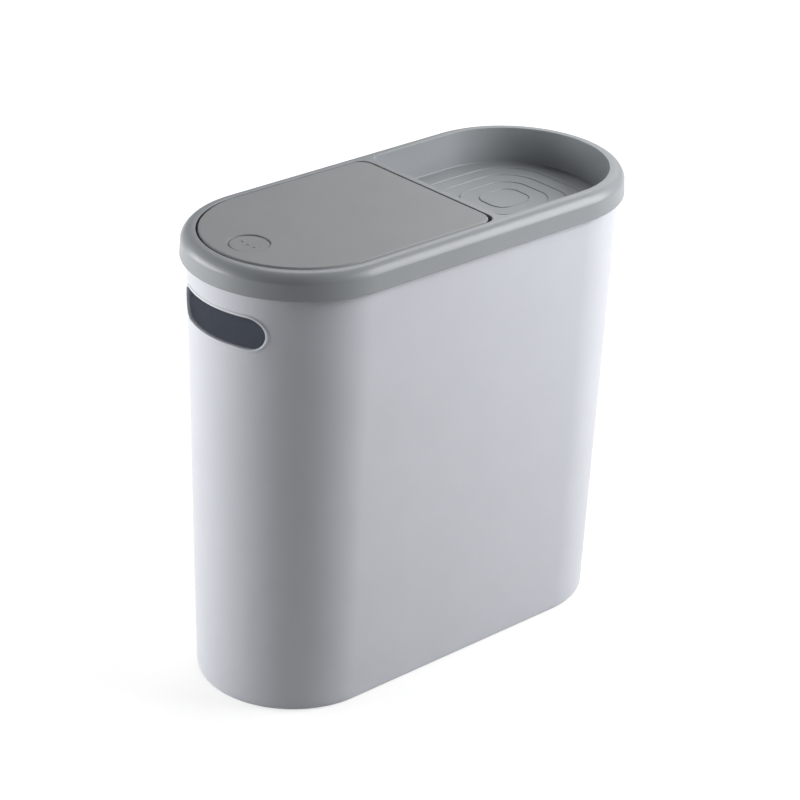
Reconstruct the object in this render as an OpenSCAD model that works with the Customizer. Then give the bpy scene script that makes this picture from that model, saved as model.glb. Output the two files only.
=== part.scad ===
// Slim push-top bin: tapered body with two hand slots, and a lift-off lid with a
// sprung flap at one end and a shallow tray at the other.
// X runs along the bin with the flap at -X, Y across it, Z up from the floor.

/* [Overall size] */
// Length over the lid rim
rim_l = 380; // [350:1:430]
// Width over the lid rim
rim_w = 170; // [164:1:190]
// Height of the rim's crest above the floor
rim_top = 357.5; // [300:0.5:420]

/* [Bin body] */
// How far the body's side stands in from the rim skirt, at the skirt's lower edge
body_inset = 5; // [4.5:0.1:6]
// How far each side leans in from the skirt down to the floor
body_draft = 8; // [4:0.5:12]
// Thickness of the body's wall
body_wall = 2.4; // [1.8:0.1:3]
// Thickness of the body's bottom
bottom_t = 2.6; // [2:0.1:4]
// Height of the foot ring under the bottom
foot_h = 2; // [1:0.5:4]
// Width of the foot ring
foot_w = 6; // [4:0.5:10]
// Rounding of the body's lower edge
base_round = 4; // [2:0.5:8]
// How far the body's top edge lies under the rim's crest
body_drop = 10.5; // [10:0.5:13]
// Height of the bead round the body's top edge
bead_h = 4.5; // [3:0.5:6]
// Clearance between the bead and the lid skirt
bead_gap = 0.4; // [0.3:0.1:0.8]

/* [Hand slots] */
// Length of each hand slot, straight across
slot_l = 88; // [70:1:100]
// Height of each hand slot
slot_h = 24; // [18:1:30]
// Depth of the slot's middle under the rim's crest
slot_drop = 50; // [42:1:80]
// Width of the raised lip round the slot
slot_lip_w = 2; // [1:0.5:4]
// How far that lip stands out from the body
slot_lip_out = 0.9; // [0.5:0.1:1.5]

/* [Lid rim] */
// Height of the upright skirt
skirt_h = 12.3; // [10:0.1:16]
// How far the skirt leans in over its height
skirt_lean = 0.8; // [0:0.1:1.2]
// Thickness of the skirt at its lower edge
skirt_wall = 2.3; // [1.8:0.1:2.6]
// Height of the rounded shoulder above the skirt
shoulder_h = 7.2; // [6:0.1:8]
// Slope of the shoulder where it leaves the skirt, as an arc angle
shoulder_start = 20; // [10:1:40]
// Width of the flat crest inside the shoulder, beside the flap
crest_w = 2.2; // [1:0.1:4]
// Distance from the skirt's outer edge in to the flap opening
mouth_inset = 11.5; // [10:0.5:14]
// Thickness of the lid moulding's deck and walls
lid_wall = 2.2; // [1.8:0.1:3]

/* [Flap opening] */
// Place of the partition between flap and tray, from the middle
mouth_x = 19; // [0:0.5:40]
// Depth of the collar round the opening
collar_h = 23.5; // [20:0.5:26]
// Corner radius of the opening beside the partition
mouth_corner = 10; // [8:0.5:11]

/* [Tray] */
// Distance from the skirt's outer edge in to the tray's edge
tray_inset = 12.5; // [11:0.5:15]
// Thickness of the partition at its top
partition_t = 5.2; // [4:0.1:7]
// Depth of the tray under the rim's crest
tray_depth = 27.5; // [15:0.5:40]
// How far the tray's sides lean in from top to bottom
tray_draft = 3; // [1:0.5:5]
// Corner radius of the tray beside the partition
tray_corner = 9; // [7.5:0.5:14]
// Place of the middle of the tray's raised lines, from the middle of the bin
lines_x = 98; // [94:1:104]
// Half length of the innermost raised loop
line_half = 18.5; // [14:0.5:20]
// Step from one raised loop to the next
line_step = 13; // [10:1:14]
// Number of raised loops
line_count = 4; // [1:1:4]
// Width of a raised line
line_w = 1.4; // [1:0.1:2]
// Height of a raised line
line_h = 0.6; // [0.3:0.1:1]

/* [Flap] */
// Gap between the flap and its opening
flap_gap = 1.5; // [1:0.1:2]
// How far the flap's top stands above the rim's crest
flap_proud = 0.5; // [0:0.1:1]
// Thickness of the flap's top plate
flap_t = 2.2; // [2:0.1:2.5]
// Corner radius of the flap beside the hinge
flap_corner = 12; // [11:0.5:13]
// Bevel round the flap's top edge
flap_bevel = 1.3; // [1:0.1:1.5]
// Depth of the flap's edge under its top plate
flap_edge_h = 5.3; // [4.5:0.1:5.5]
// Thickness of the flap's edge
flap_edge_t = 1.8; // [1.5:0.1:2.5]
// Thickness of the flap's lower plate
liner_t = 1.5; // [1.2:0.1:1.6]
// Gap from the top plate down to the lower plate
liner_gap = 2.1; // [2:0.1:2.2]
// Distance from the hinge axis to the end of the lower plate
liner_back = 10; // [9:0.5:16]
// Distance from the hinge axis to the end of the flap's side edges
edge_back = 8; // [7:0.5:12]
// Distance of the outer pair of plate screws from the latch's middle
outer_screw_x = 18; // [16:1:26]
// Distance of the outer pair from the flap's middle line
outer_screw_y = 44; // [34:1:46]
// Distance of the inner pair of plate screws from the hinge axis
inner_screw_x = 24; // [20:1:40]
// Distance of the inner pair from the flap's middle line
inner_screw_y = 50; // [34:1:54]
// Radius of the bosses that take the screws
boss_r = 3; // [2.4:0.1:3.5]
// Diameter of the round push mark
mark_d = 31; // [22:1:34]
// Depth of the mark's dish
mark_depth = 1; // [0.5:0.1:1.2]
// Distance of the mark's middle from the rounded end of the rim
mark_in = 39; // [34:1:60]
// Height of the three raised dots in the mark
dot_h = 0.5; // [0.3:0.1:0.6]

/* [Hinge] */
// Distance from the flap's straight edge to the hinge axis
axis_back = 7; // [6.5:0.1:8]
// Diameter of the steel hinge rod
rod_d = 2.9; // [2.6:0.1:3]
// Running clearance round the rod, on the radius
rod_gap = 0.05; // [0.03:0.01:0.08]
// Outer radius of the flap's knuckles
knuckle_r = 2.8; // [2.7:0.1:3]
// Clearance between the lid's ears and the flap's plate
ear_gap = 0.3; // [0.2:0.1:0.4]
// Distance of each knuckle's middle from the middle of the flap
knuckle_y = 28.5; // [26:0.5:36]
// Length of a knuckle
knuckle_l = 19; // [12:1:22]
// Thickness of an ear
ear_t = 4; // [3:0.5:5]
// Side play between an ear and a knuckle
side_gap = 0.5; // [0.3:0.1:1]
// Room for the torsion spring between knuckle and outer ear
spring_room = 11; // [10:0.5:13]
// Height of the rod's end caps
cap_l = 4; // [3:0.5:6]
// Outer diameter of the rod's end caps
cap_d = 5; // [4.6:0.1:5.2]

/* [Torsion springs] */
// Diameter of the spring wire
torsion_wire = 0.9; // [0.7:0.1:1]
// Mean radius of the coil
torsion_r = 2.1; // [2.05:0.05:2.15]
// Pitch of the coil
torsion_pitch = 1.6; // [1.4:0.1:1.8]
// Number of turns
torsion_turns = 5; // [3:1:5]
// Length of the leg under the flap
torsion_leg = 7.5; // [5:0.5:8]

/* [Push latch] */
// Distance from the flap's rounded end to the latch's middle
latch_back = 26; // [18:0.5:30]
// How far pressing the flap turns it down, in degrees
press_angle = 1.2; // [0.8:0.1:1.4]
// Width of the slider along the bin
slider_x = 9; // [8:0.5:10]
// Width of the slider across the bin
slider_y = 12; // [11:0.5:13]
// Length of the slider's body
slider_l = 18; // [16:0.5:20]
// Clearance between the slider and its housing
slider_gap = 0.15; // [0.1:0.05:0.2]
// Thickness of the housing's walls
housing_wall = 2.4; // [2:0.1:3]
// Room for the wire follower between slider and housing
follower_room = 2; // [1.8:0.1:2.2]
// Length of the follower between its bends
follower_l = 18; // [16:0.5:18]
// Diameter of the follower's wire
follower_d = 1.2; // [1:0.1:1.2]
// Thickness of the shelf that carries the latch
shelf_t = 3; // [2.5:0.5:4]
// Half width of that shelf
shelf_half = 17; // [16:0.5:20]
// How far the shelf reaches past the latch's middle
shelf_past = 14; // [12:0.5:20]
// Thickness of the housing's bottom cap
base_cap_t = 3; // [2:0.5:4]
// Length of the coil spring at rest
coil_l = 11; // [10:0.5:13]
// Diameter of the coil spring's wire
coil_wire = 0.8; // [0.6:0.1:0.8]
// Outer diameter of the coil spring
coil_d = 7; // [6:0.5:7.5]
// Number of turns of the coil spring
coil_turns = 6; // [4:1:6]

/* [Small parts] */
// Shank diameter of the latch's two screws
latch_screw_d = 3; // [2.5:0.1:3.2]
// Shank diameter of the flap's screws
flap_screw_d = 2.4; // [2:0.1:2.6]
// Height of the screw heads
head_h = 1.3; // [1:0.1:1.6]
// Diameter of the flap's soft stop pads
pad_d = 7; // [5:0.5:9]
// Clearance left under a stop pad when the flap is pressed
pad_gap = 0.3; // [0.2:0.1:0.5]

/* [Hidden] */

$fn = 96;
eps = 0.1;
body_colour = [0.86, 0.87, 0.90];
lid_colour = [0.64, 0.66, 0.68];
flap_colour = [0.57, 0.58, 0.59];
acetal_colour = [0.90, 0.90, 0.87];
steel_colour = [0.75, 0.76, 0.78];
pad_colour = [0.80, 0.82, 0.84];

// Plan: straight sides between two half rounds whose centres lie end_c from the middle
rim_r = rim_w / 2;
end_c = rim_l / 2 - rim_r;
fold_z = rim_top - shoulder_h;
skirt_z = fold_z - skirt_h;
mouth_r = rim_r - mouth_inset;
tray_r = rim_r - tray_inset;

// The shoulder's arc, an ellipse of half widths shoulder_a and shoulder_b
shoulder_w = mouth_inset - skirt_lean - crest_w;
shoulder_a = shoulder_w / cos(shoulder_start);
shoulder_b = shoulder_h / (1 - sin(shoulder_start));
shoulder_steps = 8;

// Body levels and radii
body_top = rim_top - body_drop;
body_r = rim_r - body_inset;
function body_side(z) = body_r - body_draft * (1 - z / skirt_z);
bead_r = rim_r - skirt_wall - bead_gap;
slot_z = rim_top - slot_drop;
bottom_z = foot_h + bottom_t;
inner_round = 3;
arc_steps = 6;

// Flap and hinge
flap_r = mouth_r - flap_gap;
flap_x = mouth_x - flap_gap;
flap_top = rim_top + flap_proud;
plate_z = flap_top - flap_t;
edge_z = plate_z - flap_edge_h;
axis_x = flap_x - axis_back;
axis_z = plate_z - knuckle_r;
rod_r = rod_d / 2;
ear_r = knuckle_r - ear_gap;
bore_r = rod_r + rod_gap;
inner_ear_y = knuckle_y - knuckle_l / 2 - side_gap - ear_t;
knuckle_out = knuckle_y + knuckle_l / 2;
outer_ear_y = knuckle_out + spring_room;
swing_r = norm([axis_back, knuckle_r + flap_t]);
bracket_top = axis_z - swing_r - 0.4;
bracket_h = 4.5;
rod_half = outer_ear_y + ear_t + side_gap + cap_l - 1;

// Lower plate of the flap
liner_top = plate_z - liner_gap;
liner_z = liner_top - liner_t;
liner_x = axis_x - liner_back;
liner_r = flap_r - flap_edge_t - 0.3;
screw_r = flap_screw_d / 2;
screw_top = plate_z + 0.5;

// Latch, whose middle lies latch_x from the middle of the bin towards -X
latch_x = flap_r + end_c - latch_back;
lever = axis_x + latch_x;
press_drop = lever * sin(press_angle);
flap_reach = axis_x + flap_r + end_c;
shelf_clear = 2;
shelf_top = edge_z - flap_reach * sin(press_angle) - shelf_clear;
shelf_z = shelf_top - shelf_t;
slider_sink = 1.5;
slider_top = shelf_z - slider_sink;
slider_z = slider_top - slider_l;
base_cap_z = slider_z - coil_l;
housing_z = base_cap_z - base_cap_t;
// The slider turns with the flap about the hinge, so its lower end swings towards +X
slider_swing = (axis_z - slider_z) * sin(press_angle);
cavity_x = slider_x / 2 + slider_gap;
cavity_high = cavity_x + slider_swing;
cavity_y = slider_y / 2 + slider_gap;
housing_out_y = cavity_y + housing_wall;
latch_screw_r = latch_screw_d / 2;
latch_head_r = latch_screw_r * 1.8;
tab_edge = 0.4;
latch_screw_y = housing_out_y + latch_head_r + tab_edge;
tab_y = latch_screw_y + latch_head_r + tab_edge;
tab_t = 3;

// Claws of the slider and the head of the striker that they hold
claw_t = 2;
claw_h = 7.5;
hook_h = 2.4;
hook_in = 1.6;
hook_flat = 1;
claw_y = slider_y / 2 - claw_t;
claw_x = slider_x - 2;
claw_top = slider_top + claw_h;
hook_z = claw_top - hook_h;
hook_y = claw_y - hook_in;
striker_gap = 0.3;
claw_gap = 0.7;
striker_stem_y = hook_y - claw_gap;
striker_head_y = claw_y - claw_gap;
striker_lead = 1.6;
striker_base_z = liner_z - 2;
striker_screw_y = 6.5;
striker_base_y = striker_screw_y + screw_r + 1.3;
striker_base_x = 4.5;

// Wire follower: its upper end lies in the slider's cam, its lower end turns in the housing
follower_r = follower_d / 2;
follower_gap = 0.3;
follower_x = slider_x / 2 + slider_swing + follower_gap + follower_r;
cam_middle = 7;
follower_top = slider_top - cam_middle;
follower_low = follower_top - follower_l;
follower_bend = 1;
tip_in = 0.8;
follower_tip = follower_x - slider_x / 2 + tip_in;
follower_foot = 2.5;
cam_depth = 1.8;
cam_half = 4.6;
cam_low = 7.5;
cam_high = 1.8;
pocket_y = 3.5;

// Soft pads that stop the flap when it is pressed
pad_x = latch_x + 8;
pad_y = 13;
pad_tip = 1;
pad_z = shelf_top + (axis_x + pad_x) * sin(press_angle) + pad_gap;
liner_screws_at = [[outer_screw_x - latch_x, outer_screw_y],
    [axis_x - inner_screw_x, inner_screw_y]];

// Torsion spring: one leg lies under the flap's plate, the other stands on the lid's foot
coil_y = knuckle_out + (spring_room - torsion_pitch * (torsion_turns + 0.25)) / 2;
coil_steps = 8;
torsion_path = concat(
    [[axis_x - torsion_leg, coil_y, axis_z + torsion_r],
    [axis_x - torsion_leg / 2, coil_y, axis_z + torsion_r]],
    [for (i = [0 : coil_steps * torsion_turns + coil_steps / 4])
        let (a = 90 - 360 * i / coil_steps)
        [axis_x + torsion_r * cos(a), coil_y + torsion_pitch * i / coil_steps,
        axis_z + torsion_r * sin(a)]],
    [[axis_x + torsion_r * 0.8, coil_y + torsion_pitch * (torsion_turns + 0.25),
        (axis_z + bracket_top) / 2],
    [axis_x + torsion_r * 0.5, coil_y + torsion_pitch * (torsion_turns + 0.25),
        bracket_top + 0.1]]);
echo(str("Least gap in a torsion spring: ", least_gap(torsion_path, torsion_wire, 6), " mm"));

// A profile of radius and height, run round the whole plan
module run_round(pts) {
    for (s = [0, 1])
        mirror([s, 0, 0])
            translate([end_c, 0, 0])
                rotate([0, 0, -90])
                    rotate_extrude(angle = 180)
                        polygon(pts);
    for (s = [0, 1])
        mirror([0, s, 0])
            translate([-end_c, 0, 0])
                rotate([90, 0, 90])
                    linear_extrude(2 * end_c)
                        polygon(pts);
}

// A solid with a half round end at +X and a flat side at x_flat with rounded corners;
// its sides stand lo out from the outline at the bottom and hi at the top
module d_solid(x_flat, r, corner, lo, hi, z0, z1) {
    straight = end_c - x_flat - corner;
    translate([end_c, 0, 0])
        rotate([0, 0, -90])
            rotate_extrude(angle = 180)
                polygon([[0, z0], [r + lo, z0], [r + hi, z1], [0, z1]]);
    translate([x_flat + corner, 0, 0])
        rotate([90, 0, 90])
            linear_extrude(straight)
                polygon([[-r - lo, z0], [r + lo, z0], [r + hi, z1], [-r - hi, z1]]);
    for (s = [0, 1])
        mirror([0, s, 0])
            translate([x_flat + corner, r - corner, 0])
                rotate([0, 0, 90])
                    rotate_extrude(angle = 90)
                        polygon([[0, z0], [corner + lo, z0], [corner + hi, z1], [0, z1]]);
    translate([x_flat + corner, r - corner, 0])
        rotate([90, 0, 0])
            linear_extrude(2 * (r - corner))
                polygon([[0, z0], [-corner - lo, z0], [-corner - hi, z1], [0, z1]]);
}

// The same solid with its round end at -X
module flap_solid(x_flat, r, corner, lo, hi, z0, z1) {
    mirror([1, 0, 0])
        d_solid(-x_flat, r, corner, lo, hi, z0, z1);
}

// A slot with round ends, running through along X from x0 to x1
module slot_prism(l, h, x0, x1) {
    translate([x0, 0, slot_z]) {
        for (s = [0, 1])
            mirror([0, s, 0])
                translate([0, l / 2 - h / 2, 0])
                    rotate([0, 90, 0])
                        rotate_extrude(angle = 180)
                            square([h / 2, x1 - x0]);
        translate([0, h / 2 - l / 2, -h / 2])
            cube([x1 - x0, l - h, h]);
    }
}

// A round wire swept along a path of points, with the side vector kept square to it
function unit(v) = v / norm(v);
function heading(path, i) =
    unit(path[min(i + 1, len(path) - 1)] - path[max(i - 1, 0)]);
function wire_ring(path, i, r, side, n) =
    let (t = heading(path, i), a = unit(cross(side, t)), b = cross(t, a))
    [for (k = [0 : n - 1]) path[i] + r * (cos(360 * k / n) * a + sin(360 * k / n) * b)];
module wire(path, r, side, n = 6) {
    count = len(path);
    points = [for (i = [0 : count - 1]) each wire_ring(path, i, r, side, n)];
    skin = [for (i = [0 : count - 2], k = [0 : n - 1])
        let (a = i * n + k, b = i * n + (k + 1) % n)
        each [[a, a + n, b], [b, a + n, b + n]]];
    first_cap = [for (k = [1 : n - 2]) [0, k, k + 1]];
    last = (count - 1) * n;
    last_cap = [for (k = [1 : n - 2]) [last, last + k + 1, last + k]];
    polyhedron(points, concat(skin, first_cap, last_cap));
}
function least_gap(path, d, apart) =
    min([for (i = [0 : len(path) - 1], j = [i + apart : 1 : len(path) - 1])
        norm(path[i] - path[j]) - d]);

function arc(cx, cz, r, a0, a1) =
    [for (i = [0 : arc_steps]) let (a = a0 + (a1 - a0) * i / arc_steps)
        [cx + r * cos(a), cz + r * sin(a)]];

module bin_body() {
    floor_in = body_side(bottom_z + inner_round) - body_wall;
    foot_out = body_side(0) - base_round;
    outside = concat(
        [[0, foot_h], [foot_out - foot_w - foot_h, foot_h], [foot_out - foot_w, 0]],
        arc(foot_out, base_round, base_round, -90, 0),
        [[body_side(body_top - bead_h), body_top - bead_h], [bead_r, body_top - bead_h],
        [bead_r, body_top]]);
    inside = concat(
        [[body_side(body_top) - body_wall, body_top]],
        arc(floor_in - inner_round, bottom_z + inner_round, inner_round, 0, -90),
        [[0, bottom_z]]);
    lip_l = slot_l + 2 * slot_lip_w;
    lip_h = slot_h + 2 * slot_lip_w;
    lip_low = slot_z - lip_h;
    lip_high = slot_z + lip_h;
    reach = end_c + rim_r;
    color(body_colour)
        difference() {
            union() {
                run_round(concat(outside, inside));
                for (s = [0, 1])
                    mirror([s, 0, 0])
                        intersection() {
                            slot_prism(lip_l, lip_h, end_c, reach);
                            run_round([
                                [body_side(lip_low) - body_wall / 2, lip_low],
                                [body_side(lip_low) + slot_lip_out, lip_low],
                                [body_side(lip_high) + slot_lip_out, lip_high],
                                [body_side(lip_high) - body_wall / 2, lip_high]]);
                        }
            }
            for (s = [0, 1])
                mirror([s, 0, 0])
                    slot_prism(slot_l, slot_h, end_c + slot_h, reach + 1);
        }
}

function shoulder(drop) =
    [for (i = [0 : shoulder_steps])
        let (a = shoulder_start + (90 - shoulder_start) * i / shoulder_steps)
        [mouth_r + crest_w + (shoulder_a - drop) * cos(a),
        rim_top - shoulder_b + (shoulder_b - drop) * sin(a)]];

module rim_shell() {
    under = shoulder(lid_wall);
    skirt_in = rim_r - skirt_wall;
    difference() {
        run_round(concat([[0, skirt_z], [rim_r, skirt_z]], shoulder(0), [[0, rim_top]]));
        run_round(concat([[0, skirt_z - eps], [skirt_in, skirt_z - eps], [skirt_in, body_top + 1]],
            [for (p = under) if (p[1] > body_top + 1 && p[0] < skirt_in) p],
            [[0, rim_top - lid_wall]]));
    }
}

// A rib under the shoulder that stands on the body's top edge
module seat_rib() {
    inner = body_side(body_top) - body_wall + 0.6;
    outer = inner + 2;
    high = rim_top - lid_wall - 0.5;
    run_round([[inner, body_top], [outer, body_top], [outer, high], [inner, high]]);
}

// Four ears that carry the hinge rod, on two feet that reach back to the partition
module hinge_ears() {
    foot_x = axis_x - ear_r;
    foot_z = bracket_top - bracket_h;
    for (s = [0, 1])
        mirror([0, s, 0]) {
            for (y = [inner_ear_y, outer_ear_y]) {
                translate([axis_x, y + ear_t, axis_z])
                    rotate([90, 0, 0])
                        rotate_extrude(angle = 180)
                            square([ear_r, ear_t]);
                translate([foot_x, y, foot_z])
                    cube([2 * ear_r, ear_t, axis_z - foot_z]);
            }
            translate([foot_x, inner_ear_y, foot_z])
                cube([mouth_x + lid_wall / 2 - foot_x, outer_ear_y + ear_t - inner_ear_y, bracket_h]);
        }
}

// A block with rounded corners in plan, centred on the origin
module rounded_block(half_x, half_y, r, h) {
    for (sx = [0, 1], sy = [0, 1])
        mirror([sx, 0, 0])
            mirror([0, sy, 0])
                translate([half_x - r, half_y - r, 0])
                    rotate_extrude(angle = 90)
                        square([r, h]);
    translate([r - half_x, -half_y, 0])
        cube([2 * (half_x - r), 2 * half_y, h]);
    translate([-half_x, r - half_y, 0])
        cube([half_x * 2, 2 * (half_y - r), h]);
}

module tray_lines() {
    for (i = [0 : line_count - 1]) {
        half_x = line_half + i * line_step;
        half_y = half_x - 3;
        r = half_y * 0.8;
        translate([lines_x, 0, rim_top - tray_depth - eps])
            difference() {
                rounded_block(half_x, half_y, r, line_h + eps);
                translate([0, 0, -eps])
                    rounded_block(half_x - line_w, half_y - line_w, r - line_w, line_h + 3 * eps);
            }
    }
}

module lid_frame() {
    tray_x = mouth_x + partition_t;
    floor_z = rim_top - tray_depth;
    collar_z = rim_top - collar_h;
    wall_reach = mouth_r + lid_wall;
    // The tray's flare over the last millimetre, rounded so that flat and curved faces meet
    flare = round(100 * tray_draft / tray_depth) / 100;
    shelf_end = end_c + sqrt(wall_reach * wall_reach - shelf_half * shelf_half) - 0.2;
    color(lid_colour)
        difference() {
            union() {
                difference() {
                    union() {
                        rim_shell();
                        seat_rib();
                        flap_solid(mouth_x, mouth_r, mouth_corner, lid_wall, lid_wall,
                            collar_z, rim_top - lid_wall / 2);
                        d_solid(tray_x, tray_r, tray_corner, lid_wall - tray_draft, lid_wall,
                            floor_z - lid_wall, rim_top - lid_wall / 2);
                    }
                    flap_solid(mouth_x, mouth_r, mouth_corner, 0, 0, collar_z - 1, rim_top + 1);
                    d_solid(tray_x, tray_r, tray_corner, -tray_draft, flare, floor_z, rim_top + 1);
                }
                hinge_ears();
                translate([-shelf_end, -shelf_half, shelf_z])
                    cube([shelf_end - latch_x + shelf_past, 2 * shelf_half, shelf_t]);
                tray_lines();
            }
            translate([axis_x, 0, axis_z])
                rotate([90, 0, 0])
                    cylinder(h = 2 * (outer_ear_y + ear_t + 1), r = bore_r, center = true);
            translate([-latch_x - claw_x / 2 - 1, -slider_y / 2 - 1, shelf_z - 1])
                cube([claw_x + 2, slider_y + 2, shelf_t + 2]);
            for (s = [-1, 1])
                translate([-latch_x, s * latch_screw_y, shelf_z - 1])
                    cylinder(h = shelf_t + 2, r = latch_screw_r);
        }
}

module flap_panel() {
    edge_end = axis_x - edge_back;
    boss_h = liner_gap + flap_t / 2;
    mark_r = mark_d / 2;
    dish_r = (mark_r * mark_r + mark_depth * mark_depth) / (2 * mark_depth);
    mark_x = mark_in - rim_l / 2;
    color(flap_colour) {
        difference() {
            union() {
                flap_solid(flap_x, flap_r, flap_corner, 0, 0, plate_z, flap_top - flap_bevel);
                flap_solid(flap_x, flap_r, flap_corner, 0, -flap_bevel,
                    flap_top - flap_bevel, flap_top);
                difference() {
                    flap_solid(flap_x, flap_r, flap_corner, 0, 0, edge_z, plate_z);
                    flap_solid(flap_x, flap_r, flap_corner, -flap_edge_t, -flap_edge_t,
                        edge_z - 1, plate_z);
                    translate([edge_end, -rim_w / 2, edge_z - 1])
                        cube([flap_x, rim_w, flap_edge_h + 1]);
                }
                knuckles();
                for (s = [-1, 1]) {
                    for (p = liner_screws_at)
                        translate([p[0], s * p[1], liner_top])
                            cylinder(h = boss_h, r = boss_r);
                    translate([-latch_x, s * striker_screw_y, liner_top])
                        cylinder(h = boss_h, r = boss_r);
                }
            }
            translate([mark_x, 0, flap_top - mark_depth + dish_r])
                sphere(dish_r);
            translate([axis_x, 0, axis_z])
                rotate([90, 0, 0])
                    cylinder(h = 2 * (knuckle_out + 1), r = bore_r, center = true);
            flap_screw_holes(liner_top - 1, screw_top + 0.3, screw_r);
        }
        for (s = [-1, 0, 1])
            translate([mark_x, s * mark_r * 0.42, flap_top - mark_depth - 2 * eps])
                cylinder(h = dot_h + 2 * eps, r = mark_r * 0.1);
    }
}

// Two knuckles under the plate that turn on the rod
module knuckles() {
    for (s = [0, 1])
        mirror([0, s, 0]) {
            translate([axis_x, knuckle_out, axis_z])
                rotate([-90, 0, 180])
                    rotate_extrude(angle = 180)
                        square([knuckle_r, knuckle_l]);
            translate([axis_x - knuckle_r, knuckle_out - knuckle_l, axis_z])
                cube([2 * knuckle_r, knuckle_l, knuckle_r + flap_t / 2]);
        }
}

// Holes for all of the flap's screws
module flap_screw_holes(z0, z1, r) {
    for (s = [-1, 1]) {
        for (p = liner_screws_at)
            translate([p[0], s * p[1], z0])
                cylinder(h = z1 - z0, r = r);
        translate([-latch_x, s * striker_screw_y, z0])
            cylinder(h = z1 - z0, r = r);
    }
}

module flap_liner() {
    color(flap_colour)
        difference() {
            flap_solid(liner_x, liner_r, flap_corner, 0, 0, liner_z, liner_top);
            flap_screw_holes(liner_z - 1, liner_top + 1, screw_r + 0.1);
        }
}

// A pan-headed screw pointing up, its head under z
module screw(z, tip, r, head_r, height) {
    translate([0, 0, z])
        cylinder(h = tip - z, r = r);
    translate([0, 0, z - height])
        cylinder(h = height * 0.4, r1 = head_r * 0.8, r2 = head_r);
    translate([0, 0, z - height * 0.6])
        cylinder(h = height * 0.6, r = head_r);
}

module liner_screws() {
    color(steel_colour)
        for (s = [-1, 1], p = liner_screws_at)
            translate([p[0], s * p[1], 0])
                screw(liner_z, screw_top, screw_r, screw_r * 2, head_h);
}

module striker_screws() {
    color(steel_colour)
        for (s = [-1, 1])
            translate([-latch_x, s * striker_screw_y, 0])
                screw(striker_base_z, screw_top, screw_r, screw_r * 1.8, head_h);
}

module latch_striker() {
    head_z = slider_top + striker_gap;
    head_top = hook_z - striker_gap;
    stem_x = claw_x / 2;
    color(acetal_colour)
        difference() {
            union() {
                translate([-latch_x - striker_base_x, -striker_base_y, striker_base_z])
                    cube([2 * striker_base_x, 2 * striker_base_y, liner_z - striker_base_z]);
                translate([stem_x - latch_x, 0, 0])
                    rotate([90, 0, -90])
                        linear_extrude(2 * stem_x)
                            polygon([[-striker_stem_y, striker_base_z],
                                [-striker_stem_y, head_top], [-striker_head_y, head_top],
                                [-striker_head_y, head_z + striker_lead],
                                [-striker_stem_y, head_z], [striker_stem_y, head_z],
                                [striker_head_y, head_z + striker_lead],
                                [striker_head_y, head_top], [striker_stem_y, head_top],
                                [striker_stem_y, striker_base_z]]);
            }
            for (s = [-1, 1])
                translate([-latch_x, s * striker_screw_y, striker_base_z - 1])
                    cylinder(h = liner_z - striker_base_z + 2, r = screw_r + 0.1);
        }
}

module flap_stop_pads() {
    pad_r = pad_d / 2;
    color(pad_colour)
        for (s = [-1, 1])
            translate([-pad_x, s * pad_y, 0]) {
                translate([0, 0, pad_z + pad_tip])
                    cylinder(h = liner_z - pad_z - pad_tip, r = pad_r);
                translate([0, 0, pad_z])
                    cylinder(h = pad_tip, r1 = pad_r - pad_tip, r2 = pad_r);
            }
}

module hinge_rod() {
    color(steel_colour)
        translate([axis_x, 0, axis_z])
            rotate([90, 0, 0])
                cylinder(h = 2 * rod_half, r = rod_r, center = true);
}

module rod_end_caps() {
    color(acetal_colour)
        for (s = [0, 1])
            mirror([0, s, 0])
                translate([axis_x, rod_half + 1 - cap_l, axis_z])
                    rotate([-90, 0, 0])
                        difference() {
                            cylinder(h = cap_l, d = cap_d);
                            translate([0, 0, -1])
                                cylinder(h = cap_l, r = rod_r);
                        }
}

module torsion_spring_far() {
    color(steel_colour)
        wire(torsion_path, torsion_wire / 2, [0, 1, 0]);
}

module torsion_spring_near() {
    color(steel_colour)
        mirror([0, 1, 0])
            wire(torsion_path, torsion_wire / 2, [0, 1, 0]);
}

module latch_housing() {
    low_x = -latch_x - cavity_x - housing_wall;
    high_x = -latch_x + cavity_high + follower_room + housing_wall;
    color(acetal_colour)
        difference() {
            union() {
                translate([low_x, -housing_out_y, base_cap_z])
                    cube([high_x - low_x, 2 * housing_out_y, shelf_z - base_cap_z]);
                translate([-latch_x - latch_head_r - 0.4, -tab_y, shelf_z - tab_t])
                    cube([2 * latch_head_r + 0.8, 2 * tab_y, tab_t]);
            }
            translate([-latch_x - cavity_x, -cavity_y, base_cap_z - 1])
                cube([cavity_x + cavity_high, 2 * cavity_y, shelf_z - base_cap_z + 2]);
            translate([-latch_x, -pocket_y, follower_low - 1.5])
                cube([cavity_high + follower_room, 2 * pocket_y, follower_l + 4]);
            translate([-latch_x, 0, follower_low])
                rotate([0, 90, 0])
                    cylinder(h = follower_x + follower_foot + 0.2, r = follower_r + rod_gap);
            for (s = [-1, 1])
                translate([-latch_x, s * latch_screw_y, shelf_z - tab_t - 1])
                    cylinder(h = tab_t + 2, r = latch_screw_r + 0.2);
        }
}

module latch_base_cap() {
    low_x = -latch_x - cavity_x - housing_wall;
    high_x = -latch_x + cavity_high + follower_room + housing_wall;
    color(acetal_colour) {
        translate([low_x, -housing_out_y, housing_z])
            cube([high_x - low_x, 2 * housing_out_y, base_cap_t]);
        translate([-latch_x, 0, base_cap_z - eps])
            cylinder(h = 2 + eps, r = coil_d / 2 - coil_wire - 0.4);
    }
}

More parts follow.
